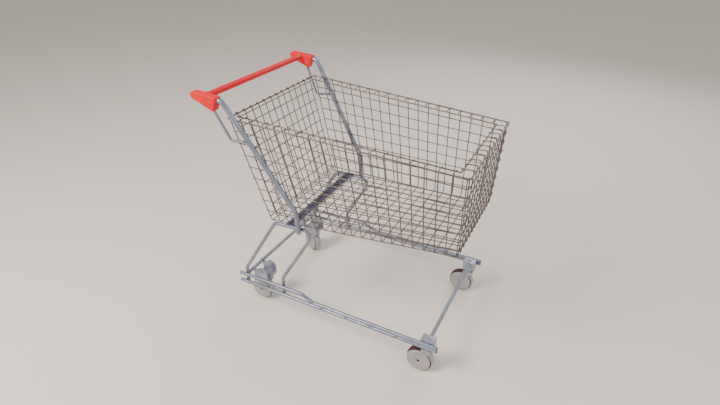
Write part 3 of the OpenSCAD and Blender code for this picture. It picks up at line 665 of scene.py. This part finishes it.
for fork_body, stem in swivels.items():
    corner = fork_body.removeprefix("fork_")
    spin = spins[fork_body]
    turn = math.atan2(-spin["axis"][0], spin["axis"][1])
    place = Matrix.Translation(Vector((stem.x, stem.y, 0))) @ Matrix.Rotation(turn, 4, "Z")
    axle = place.inverted() @ Vector(spin["pos_m"])
    axle.y = 0
    tyre_low, tyre_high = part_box(f"tyre_{corner}")
    wheel_r = (tyre_high.z - tyre_low.z) / 2
    bore = wheel_r - 15 * MM
    disc_low, disc_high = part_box(f"guards_{corner}")
    disc_r = (disc_high.z - disc_low.z) / 2
    disc_face = 15.55 * MM

    fork = piece(f"caster_fork_{corner}", pressed_fork(axle, wheel_r), fork_finish, place)
    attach(fork, fork_body)
    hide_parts(f"fork_{corner}")

    bolts = Shape()
    for label, way in (("near", -1), ("far", 1)):
        disc = dished_disc(axle, disc_face, way, disc_r)
        disc = piece(f"caster_disc_{corner}_{label}", disc, disc_finish, place)
        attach(disc, fork_body)
        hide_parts(f"guards_{corner}")
        seat = axle + way * (disc_face + 3.9 * MM) * Y
        hexagon = [(0, 4.4 * MM), (1.5 * MM, 4.4 * MM), (2.1 * MM, 3.8 * MM), (2.1 * MM, 0.2 * MM)]
        bolts.lathe(hexagon, seat, way * Y, 6)
        bolts.lathe([(0, 6.2 * MM), (0.5 * MM, 6.0 * MM), (0.6 * MM, 0.3 * MM)], seat, way * Y, 32)
    axle_bolt = piece(f"caster_axle_bolt_{corner}", bolts, bolt_finish, place)
    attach(axle_bolt, fork_body)

    shield = piece(f"caster_front_shield_{corner}", front_shield(axle, wheel_r), disc_finish, place)
    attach(shield, fork_body)

    hub = piece(f"caster_hub_{corner}", plastic_hub(axle, bore), hub_finish, place)
    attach(hub, spin["child"])
    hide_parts(f"hub_{corner}")

    tyre_shape = rubber_tyre(axle, bore + 0.05 * MM, wheel_r, 11 * MM)
    tyre = piece(f"caster_tyre_{corner}", tyre_shape, rubber_finish, place)
    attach(tyre, spin["child"])
    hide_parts(f"tyre_{corner}")


# ---- under-basket frame ----
# One steel tube a side rises from the rails, runs forward under the basket and comes back down. Its
# feet are welded to both rails, inside the cart.

def solids(node):
    """The separate solids of a CAD node, each as an array of its corner points."""
    mesh = frame["nodes"][node].data
    points = np.array([v.co for v in mesh.vertices])
    points, same = np.unique(points.round(6), axis=0, return_inverse=True)
    same = same.ravel()
    group = list(range(len(points)))

    def head(i):
        while group[i] != i:
            group[i] = group[group[i]]
            i = group[i]
        return i

    for face in mesh.polygons:
        first, *others = (same[v] for v in face.vertices)
        for other in others:
            group[head(other)] = head(first)
    heads = np.array([head(i) for i in range(len(points))])
    return [points[heads == h] for h in np.unique(heads)]


def straight_runs(node, radius):
    """The two end middles of each straight rod or tube of a CAD node."""
    found = []
    for points in solids(node):
        along = np.linalg.svd(points - points.mean(0), full_matrices=False)[2][0]
        reach = points @ along
        start, end = (points[abs(reach - e) < 1e-5].mean(0) for e in (reach.min(), reach.max()))
        off = points - start
        off -= np.outer(off @ along, along)
        if np.linalg.norm(off, axis=1).max() < 1.02 * radius:
            found.append((Vector(start), Vector(end)))
    return found


def meet(first, second):
    """Where two straight runs would cross if both went on."""
    return sum(intersect_line_line(*first, *second), Vector()) / 2


def chain(runs, start):
    """The corners of a bent tube, from its straight runs, beginning at the end nearest to start."""
    left, at, ordered = list(runs), Vector(start), []
    while left:
        run = min(left, key=lambda r: min((r[0] - at).length, (r[1] - at).length))
        left.remove(run)
        if (run[1] - at).length < (run[0] - at).length:
            run = (run[1], run[0])
        ordered.append(run)
        at = run[1]
    return [ordered[0][0], *(meet(a, b) for a, b in zip(ordered, ordered[1:])), ordered[-1][1]]


strut_bends = [0, 25 * MM, 25 * MM, 32 * MM, 25 * MM, 0]

for side, way in SIDES.items():
    node = f"basket_frame_{side}"
    low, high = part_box(node)
    run = chain(straight_runs(node, rail_r), (low.x, way * rail_y, low.z))
    tube = Shape()
    tube.bar(bends(run, strut_bends, steps=10), rail_r, TUBE_SIDES)
    strut = piece(f"under_basket_tube_{side}", tube, tube_finish)
    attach(strut, "cart")
    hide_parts(node)

    seams = Shape()
    for foot in (run[0], run[-1]):
        for face in (-1, 1):
            edge = foot + Vector((face * 0.72 * rail_r, way * 0.98 * rail_r, 0))
            seams.bead(edge + 2 * MM * Z, edge + 2.0 * rail_r * Z, 2.0 * MM)
    strut_seams = piece(f"strut_foot_welds_{side}", seams, weld_finish)
    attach(strut_seams, "cart")


# ---- cross plate ----
# A dark painted steel strip lies across both under-basket tubes and carries the basket floor. Its
# ends are rounded, two shallow ribs stiffen it, and it is spot welded at the tubes.

def painted_sheet():
    finish = Finish("dark_sheet_paint", Coat_Weight=0.15, Coat_Roughness=0.3)
    cloud = finish.noise(20, 4)
    chip = finish.above(finish.noise(95, 7), 0.66, 0.69)
    dust = finish.above(finish.noise(26, 6), 0.48, 0.74)
    rub = finish.edges(0.52, 0.58)
    colour = finish.mix(cloud, (0.055, 0.062, 0.115, 1), (0.085, 0.095, 0.16, 1))
    colour = finish.mix(dust * 0.45, colour, (0.20, 0.20, 0.23, 1))
    colour = finish.mix(chip * 0.6, colour, (0.30, 0.29, 0.30, 1))
    colour = finish.mix(rub * 0.35, colour, (0.24, 0.24, 0.28, 1))
    peel = finish.noise(520, 2)
    return finish.surface(colour, 0.36 + 0.2 * dust + 0.08 * peel, peel - 0.7 * chip, 0.00010)


plate_low, plate_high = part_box("cross_plate")
lengthwise = straight_runs("floor_long_wires", 4 * MM)
slope = (lengthwise[0][1] - lengthwise[0][0]).normalized()
slope = slope if slope.x > 0 else -slope
slope = Vector((slope.x, 0, slope.z)).normalized()
upward = Y.cross(-slope)
plate_thick = 3 * MM
plate_half = (plate_high.x - plate_low.x - plate_thick * upward.z * slope.z) / 2 / slope.x - 0.05 * MM
plate_middle = (plate_low + plate_high) / 2
half_y = plate_high.y

outline = [
    plate_middle + a * (plate_half - 0.1 * MM) * slope + b * half_y * Y - plate_thick / 2 * upward
    for a, b in ((-1, -1), (1, -1), (1, 1), (-1, 1))
]
sheet = Shape()
sheet.slab(bends(outline, [6 * MM] * 4, loop=True, steps=5), plate_thick * upward, 0.7 * MM)
for across in (-0.5, 0.5):
    middle = plate_middle + across * plate_half * slope - 0.45 * plate_thick * upward
    sheet.bar([middle - 0.86 * half_y * Y, middle + 0.86 * half_y * Y], 1.6 * MM, 12)
plate = piece("basket_cross_plate", sheet, painted_sheet())
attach(plate, "cart")
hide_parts("cross_plate")


# ---- basket ribs and lengthwise wires ----
# Drawn steel wire. Each rib is one wire, bent up both sides and hooked inward over the rim, and each
# lengthwise wire runs along the floor and up the front. Every crossing is spot welded.

wire_finish = plated_steel(
    "bright_wire",
    pale=(0.170, 0.122, 0.108, 1),
    deep=(0.080, 0.053, 0.044, 1),
    dust=(0.050, 0.034, 0.028, 1),
    roughness=0.32,
    metallic=0.50,
)
wire_r = 2 * MM
hook_arm = Vector((0, -38, -4)) * MM
hook_bend = 5 * MM
corner_bend = 10 * MM
foot_bend = 4 * MM
WIRE_SIDES = 12


def upward_run(run):
    return run if run[0].z < run[1].z else (run[1], run[0])


def hooked_top(run, arm):
    """Where the upright's bend and hook go: the crown, and the end of the arm."""
    up = (run[1] - run[0]).normalized()
    crown = run[1] + up * hook_bend * math.tan(up.angle(arm) / 2)
    return crown, crown + arm


uprights = {
    side: sorted(
        (upward_run(r) for r in straight_runs("side_uprights", wire_r) if way * r[0].y > 0),
        key=lambda r: r[0].x,
    )
    for side, way in SIDES.items()
}
floor_cross = sorted(straight_runs("floor_cross_wires", wire_r), key=lambda r: r[0].x)
last_rib = len(floor_cross) - 1
ribs = Shape()
for k, cross in enumerate(floor_cross):
    left, right = uprights["left"][k], uprights["right"][k]
    corners = [meet(left, cross), meet(right, cross)]
    if k in (0, last_rib):
        ribs.bar(bends([left[1], *corners, right[1]], [0, corner_bend, corner_bend, 0]), wire_r, WIRE_SIDES)
        continue
    left_top = hooked_top(left, hook_arm)
    right_top = hooked_top(right, hook_arm * Vector((1, -1, 1)))
    path = [left_top[1], left_top[0], *corners, right_top[0], right_top[1]]
    ribs.bar(bends(path, [0, hook_bend, corner_bend, corner_bend, hook_bend, 0]), wire_r, WIRE_SIDES)
rib_piece = piece("basket_ribs", ribs, wire_finish)
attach(rib_piece, "cart")
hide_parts("side_uprights", "rib_corner_bends", "floor_cross_wires", "side_hooks")

floor_long = sorted(straight_runs("floor_long_wires", wire_r), key=lambda r: r[0].y)
floor_long = [r if r[0].x < r[1].x else (r[1], r[0]) for r in floor_long]
front_up = sorted((upward_run(r) for r in straight_runs("front_uprights", wire_r)), key=lambda r: r[0].y)
front_arm = Vector((-42, 0, -4)) * MM
lengthwise_wires = Shape()
for i, (run, upright) in enumerate(zip(floor_long, front_up)):
    path = [run[0], meet(run, upright), upright[1]]
    radii = [0, foot_bend, 0]
    if 0 < i < len(floor_long) - 1:
        crown, tip = hooked_top(upright, front_arm)
        path = [run[0], meet(run, upright), crown, tip]
        radii = [0, foot_bend, hook_bend, 0]
    lengthwise_wires.bar(bends(path, radii), wire_r, WIRE_SIDES)
long_piece = piece("basket_lengthwise_wires", lengthwise_wires, wire_finish)
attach(long_piece, "cart")
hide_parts("floor_long_wires", "front_foot_bends", "front_uprights", "front_hooks")


# ---- basket level wires and rim ----
# The level wires run along the sides and round the front. The rim is one thicker wire all round the
# outside, and a thinner one hangs inside it under the ends of the hooks.

side_level = {
    side: sorted((r for r in straight_runs("side_wires", wire_r) if way * r[0].y > 0), key=lambda r: r[0].z)
    for side, way in SIDES.items()
}
side_level = {s: [r if r[0].x < r[1].x else (r[1], r[0]) for r in runs] for s, runs in side_level.items()}
front_level = sorted(straight_runs("front_wires", wire_r), key=lambda r: r[0].z)
levels = Shape()
for left, right, front in zip(side_level["left"], side_level["right"], front_level):
    path = [left[0], meet(left, front), meet(right, front), right[0]]
    levels.bar(bends(path, [0, 8 * MM, 8 * MM, 0]), wire_r, WIRE_SIDES)
level_piece = piece("basket_level_wires", levels, wire_finish)
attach(level_piece, "cart")
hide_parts("side_wires", "front_corner_bends", "front_wires")

rim_r = 3 * MM
rim_sides = {"left" if r[0].y > 0 else "right": r for r in straight_runs("rim_side_wires", rim_r)}
rim_rear = straight_runs("rim_rear_wire", rim_r)[0]
rim_front = straight_runs("rim_front_wire", rim_r)[0]
rim_corners = [
    meet(rim_sides["left"], rim_rear), meet(rim_sides["left"], rim_front),
    meet(rim_sides["right"], rim_front), meet(rim_sides["right"], rim_rear),
]
rim = Shape()
rim.bar(bends(rim_corners, [6 * MM, 10 * MM, 10 * MM, 6 * MM], loop=True), rim_r, 16, loop=True)
rim_piece = piece("basket_rim", rim, wire_finish)
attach(rim_piece, "cart")
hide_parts("rim_side_wires", "rim_corner_bends", "rim_rear_wire", "rim_front_wire")

inner_r = 2.5 * MM
inner_runs = straight_runs("inner_rim_side_wires", inner_r) + straight_runs("inner_rim_front_wire", inner_r)
inner = Shape()
for run in inner_runs:
    inner.bar(run, inner_r, 14)
inner_piece = piece("basket_inner_rim", inner, wire_finish)
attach(inner_piece, "cart")
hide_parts("inner_rim_side_wires", "inner_rim_front_wire")

stop_run = straight_runs("gate_stop_wire", wire_r)[0]
stop = Shape()
stop.bar(stop_run, wire_r, WIRE_SIDES)
for end, other in (stop_run, stop_run[::-1]):
    along = (other - end).normalized()
    stop.ring_bead(end + 1.5 * MM * along, along, wire_r, 0.7 * MM, 0.05)
stop_piece = piece("gate_stop_bar", stop, wire_finish)
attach(stop_piece, "cart")
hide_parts("gate_stop_wire")


# ---- basket spot welds ----
# Wherever two wires cross, the welder's electrodes squeeze them together and leave a small bulge of
# steel around the contact, bluish from the heat.

def spot(shape, at, radius):
    """A small flattened bulge."""
    rows = ((-1, 0.05), (-0.8, 0.6), (-0.3, 0.95), (0.3, 0.95), (0.8, 0.6), (1, 0.05))
    shape.lathe([(h * radius, w * radius) for h, w in rows], at, Z, 8)


def crossing(first, second, reach):
    """The contact point of two wires whose axes pass within reach of each other, or None."""
    pair = intersect_line_line(*first, *second)
    if pair is None or (pair[0] - pair[1]).length > reach:
        return None
    for point, run in zip(pair, (first, second)):
        along = (point - run[0]).dot((run[1] - run[0]).normalized())
        if not -5 * MM < along < (run[1] - run[0]).length + 5 * MM:
            return None
    return (pair[0] + pair[1]) / 2


def spot_all(shape, some, others, reach, radius):
    for first in some:
        for second in others:
            at = crossing(first, second, reach)
            if at is not None:
                spot(shape, at, radius * random.uniform(0.92, 1.08))


random.seed(7)
wire_touch, rim_touch = 5 * MM, 6 * MM
wire_spot, rim_spot = 2.3 * MM, 2.4 * MM
spots = Shape()
for side in SIDES:
    spot_all(spots, uprights[side], side_level[side], wire_touch, wire_spot)
    spot_all(spots, uprights[side], [rim_sides[side]], rim_touch, rim_spot)
spot_all(spots, front_up, front_level, wire_touch, wire_spot)
spot_all(spots, front_up, [rim_front], rim_touch, rim_spot)
spot_all(spots, floor_long, floor_cross, wire_touch, wire_spot)
spot_piece = piece("basket_spot_welds", spots, weld_finish)
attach(spot_piece, "cart")


# ---- rear gate ----
# The gate's long wires hook over the rear rim wire, which is their hinge, and hang against the stop
# bar. The cross wires are spot welded on their front, so the whole gate swings up when carts nest.

gate = next(j for j in frame["joints"] if j["name"] == "gate_hinge")
pivot = Vector(gate["pos_m"])
gate_up = sorted((upward_run(r) for r in straight_runs("gate_uprights", wire_r)), key=lambda r: r[0].y)
gate_cross = straight_runs("gate_wires", wire_r)
lean = gate_up[len(gate_up) // 2][1] - gate_up[len(gate_up) // 2][0]
lean = Vector((lean.x, 0, lean.z)).normalized()
ahead = Y.cross(lean)
hook_reach = abs((gate_up[0][1] - pivot).dot(ahead))
curl = hook_reach - 0.8 * MM
gate_shape = Shape()
for foot, top in gate_up:
    over = Vector((pivot.x, top.y, pivot.z)) + hook_reach * lean
    path = [foot, over + hook_reach * ahead, over - hook_reach * ahead]
    path.append(path[-1] - (hook_reach + rim_r) * lean)
    gate_shape.bar(bends(path, [0, curl, curl, 0], steps=8), wire_r, WIRE_SIDES)
gate_long = piece("gate_long_wires", gate_shape, wire_finish)
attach(gate_long, "gate")
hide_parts("gate_uprights", "gate_hooks")

gate_shape = Shape()
for run in gate_cross:
    gate_shape.bar(run, wire_r, WIRE_SIDES)
gate_level = piece("gate_cross_wires", gate_shape, wire_finish)
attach(gate_level, "gate")
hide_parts("gate_wires")

gate_spots = Shape()
spot_all(gate_spots, gate_up, gate_cross, wire_touch, wire_spot)
gate_spot_piece = piece("gate_spot_welds", gate_spots, weld_finish)
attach(gate_spot_piece, "gate")


# ---- side tubes and braces ----
# A bent tube a side holds the handle. It comes out of the cap, turns down past the rim and lies along
# the basket side to the floor. A thinner rod braces it from the cap, and both are welded on.

tube_r = 10 * MM
brace_r = 5 * MM
grip_low, grip_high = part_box("handle_grip")
bar_x = (grip_low.x + grip_high.x) / 2
bar_z = (grip_low.z + grip_high.z) / 2
elbow_r = 35 * MM
knee_r = 45 * MM
tube_runs = {}

for side, way in SIDES.items():
    node = f"side_tube_{side}"
    run = chain(straight_runs(node, tube_r), (bar_x, way * rail_y, bar_z))
    tube_runs[side] = run
    tube = Shape()
    tube.bar(bends(run, [0, elbow_r, knee_r, 0], steps=14), tube_r, 32)
    side_tube = piece(f"handle_tube_{side}", tube, tube_finish)
    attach(side_tube, "cart")
    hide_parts(node)

    elbow, knee = run[1], run[2]
    down = (knee - elbow).normalized()

    def on_tube(height):
        return elbow + down * ((height - elbow.z) / down.z)

    low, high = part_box(f"handle_brace_{side}")
    turn_z = elbow.z - 155 * MM
    brace_run = [
        Vector((bar_x + 20 * MM, run[0].y, bar_z - 22 * MM)),
        Vector((elbow.x + 4 * MM, on_tube(turn_z).y, turn_z)),
        Vector((high.x - 0.8 * MM, on_tube(turn_z + 10 * MM).y, turn_z + 10 * MM)),
    ]
    rod = Shape()
    rod.bar(bends(brace_run, [0, 14 * MM, 0], steps=10), brace_r, 20)
    brace = piece(f"handle_brace_rod_{side}", rod, tube_finish)
    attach(brace, "cart")
    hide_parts(f"handle_brace_{side}")

    seams = Shape()
    brace_way = (brace_run[2] - brace_run[1]).normalized()
    seams.ring_bead(brace_run[2] - 0.6 * MM * brace_way, brace_way, brace_r + 0.4 * MM, 1.8 * MM)
    for level in [rim_sides[side], *side_level[side]]:
        at = crossing((elbow, knee), level, 16 * MM)
        if at is None:
            continue
        near = intersect_line_line(elbow, knee, *level)[1]
        towards = (elbow.lerp(knee, (near - elbow).dot(down) / (knee - elbow).length) - near).normalized()
        seat = near + towards * 1.5 * MM
        for across in (3 * MM, -3 * MM):
            beside = seat + across * X
            seams.bead(beside - 5 * MM * down, beside + 5 * MM * down, 1.8 * MM)
    tube_seams = piece(f"handle_tube_welds_{side}", seams, weld_finish)
    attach(tube_seams, "cart")


# ---- handle ----
# A red plastic sleeve covers the steel bar. At each end a moulded cap, joined from two halves with a
# fine parting line, clamps the bar, the side tube and the brace together with two screws.

red_finish = moulded_plastic(
    "red_handle", (0.84, 0.004, 0.010, 1), (0.70, 0.002, 0.007, 1), 0.42, (0.86, 0.05, 0.05, 1), 620
)
frame["nodes"]["handle_core"].data.materials[0] = tube_finish

grip_r = (grip_high.z - grip_low.z) / 2
half_grip = grip_high.y
sleeve = Shape()
end = [(0, 9.1), (0, grip_r / MM - 0.5), (0.5, grip_r / MM)]
for k in range(3):
    start = 7 + 4 * k
    end += [(start, grip_r / MM), (start + 0.4, grip_r / MM - 0.5), (start + 1.1, grip_r / MM - 0.5),
            (start + 1.5, grip_r / MM)]
half_outline = [(-half_grip + a * MM, r * MM) for a, r in end]
outline = half_outline + [(-a, r) for a, r in reversed(half_outline)]
sleeve.lathe(outline, (bar_x, 0, bar_z), Y, 48, loop=True)
grip = piece("handle_sleeve", sleeve, red_finish)
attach(grip, "cart")
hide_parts("handle_grip")

nose_r = 14
nose = arc(-42, 2, nose_r, 86, 242, 14)
front_foot, front_top = (44, -47), (66, 8)
screw = [(0, 3.6), (0.6, 3.4), (1.2, 2.5), (1.3, 1.9), (0.5, 1.8), (0.5, 0.1)]
socket_lip = [(-2.2, 12.1), (-2.2, 14.2), (-1.6, 14.9), (1, 15.2), (1, 12.1)]
collar = [(-3, 9.9), (-3, 12.4), (0.6, 12.8), (1.6, 12.3), (2.0, 11.2), (2.0, 9.9)]

for side, way in SIDES.items():
    low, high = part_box(f"handle_cap_{side}")
    inner_y, outer_y = (low.y, high.y) if way > 0 else (high.y, low.y)
    outline = [Vector((bar_x + x * MM, inner_y, bar_z + z * MM)) for x, z in [*nose, front_foot, front_top]]
    radii = [0] * len(nose) + [5 * MM, 6 * MM]
    shell = Shape()
    shell.slab(bends(outline, radii, loop=True, steps=6), (outer_y - inner_y) * Y, 4 * MM, 0.5 * MM)
    shell.lathe([(a * MM, r * MM) for a, r in socket_lip], (bar_x, inner_y, bar_z), way * Y, 40, loop=True)
    run = tube_runs[side]
    tube_way = (run[1] - run[0]).normalized()
    mouth = run[0] + tube_way * ((bar_x + 61.5 * MM - run[0].x) / tube_way.x)
    shell.lathe([(a * MM, r * MM) for a, r in collar], mouth, tube_way, 40, loop=True)
    cap = piece(f"handle_end_cap_{side}", shell, red_finish)
    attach(cap, "cart")
    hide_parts(f"handle_cap_{side}")

    screws = Shape()
    for x, z in ((-30, -6), (34, -22)):
        at = (bar_x + x * MM, inner_y + way * 0.2 * MM, bar_z + z * MM)
        screws.lathe([(a * MM, r * MM) for a, r in screw], at, -way * Y, 24)
    cap_screws = piece(f"handle_cap_screws_{side}", screws, fork_finish)
    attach(cap_screws, "cart")


# ---- studio ----
# A wide pale floor, slightly warm and without pattern, under soft light: one large lamp high on the
# left, a broad fill, a back light and a bright room all round.

def pale_floor():
    finish = Finish("pale_floor")
    cloud = finish.noise(1.2, 3)
    colour = finish.mix(cloud, (0.86, 0.755, 0.655, 1), (0.89, 0.79, 0.69, 1))
    return finish.surface(colour, 0.8 + 0.1 * cloud, finish.noise(300, 2), 0.00005)


ground = Shape()
ground.loft([
    [(40 * math.cos(a), 40 * math.sin(a), z) for a in (2 * math.pi * k / 64 for k in range(64))]
    for z in (-0.05, -0.0005)
])
floor = piece("floor", ground, pale_floor())

room = bpy.data.worlds.new("room")
bpy.context.scene.world = room
room.use_nodes = True
room.node_tree.nodes["Background"].inputs["Color"].default_value = (0.93, 0.91, 0.92, 1)
room.node_tree.nodes["Background"].inputs["Strength"].default_value = 0.55

for name, place, size, power, colour in (
    ("key", (-1.6, -2.6, 3.4), 1.6, 190, (1.0, 0.97, 0.93)),
    ("fill", (3.2, -1.2, 2.2), 2.6, 45, (0.93, 0.95, 1.0)),
    ("back", (0.5, 3.4, 2.8), 2.6, 60, (0.90, 0.94, 1.0)),
):
    lamp = bpy.data.lights.new(name, "AREA")
    lamp.size = size
    lamp.energy = power
    lamp.color = colour
    holder = bpy.data.objects.new(name, lamp)
    holder.location = place
    holder.rotation_euler = (Vector((0, 0, 0.5)) - Vector(place)).to_track_quat("-Z", "Y").to_euler()
    bpy.context.collection.objects.link(holder)

lens = bpy.data.cameras.new("camera")
lens.sensor_width = 36
lens.lens = 24.598
camera = bpy.data.objects.new("camera", lens)
bpy.context.collection.objects.link(camera)
yaw, pitch, roll = math.radians(117.318), math.radians(-31.02), math.radians(0.061)
view = Vector((math.cos(yaw) * math.cos(pitch), math.sin(yaw) * math.cos(pitch), math.sin(pitch)))
camera.location = (0.822941, -1.58679, 1.586203)
aim = view.to_track_quat("-Z", "Y").to_matrix()
camera.rotation_euler = (aim @ Matrix.Rotation(roll, 3, "Z")).to_euler()
bpy.context.scene.camera = camera
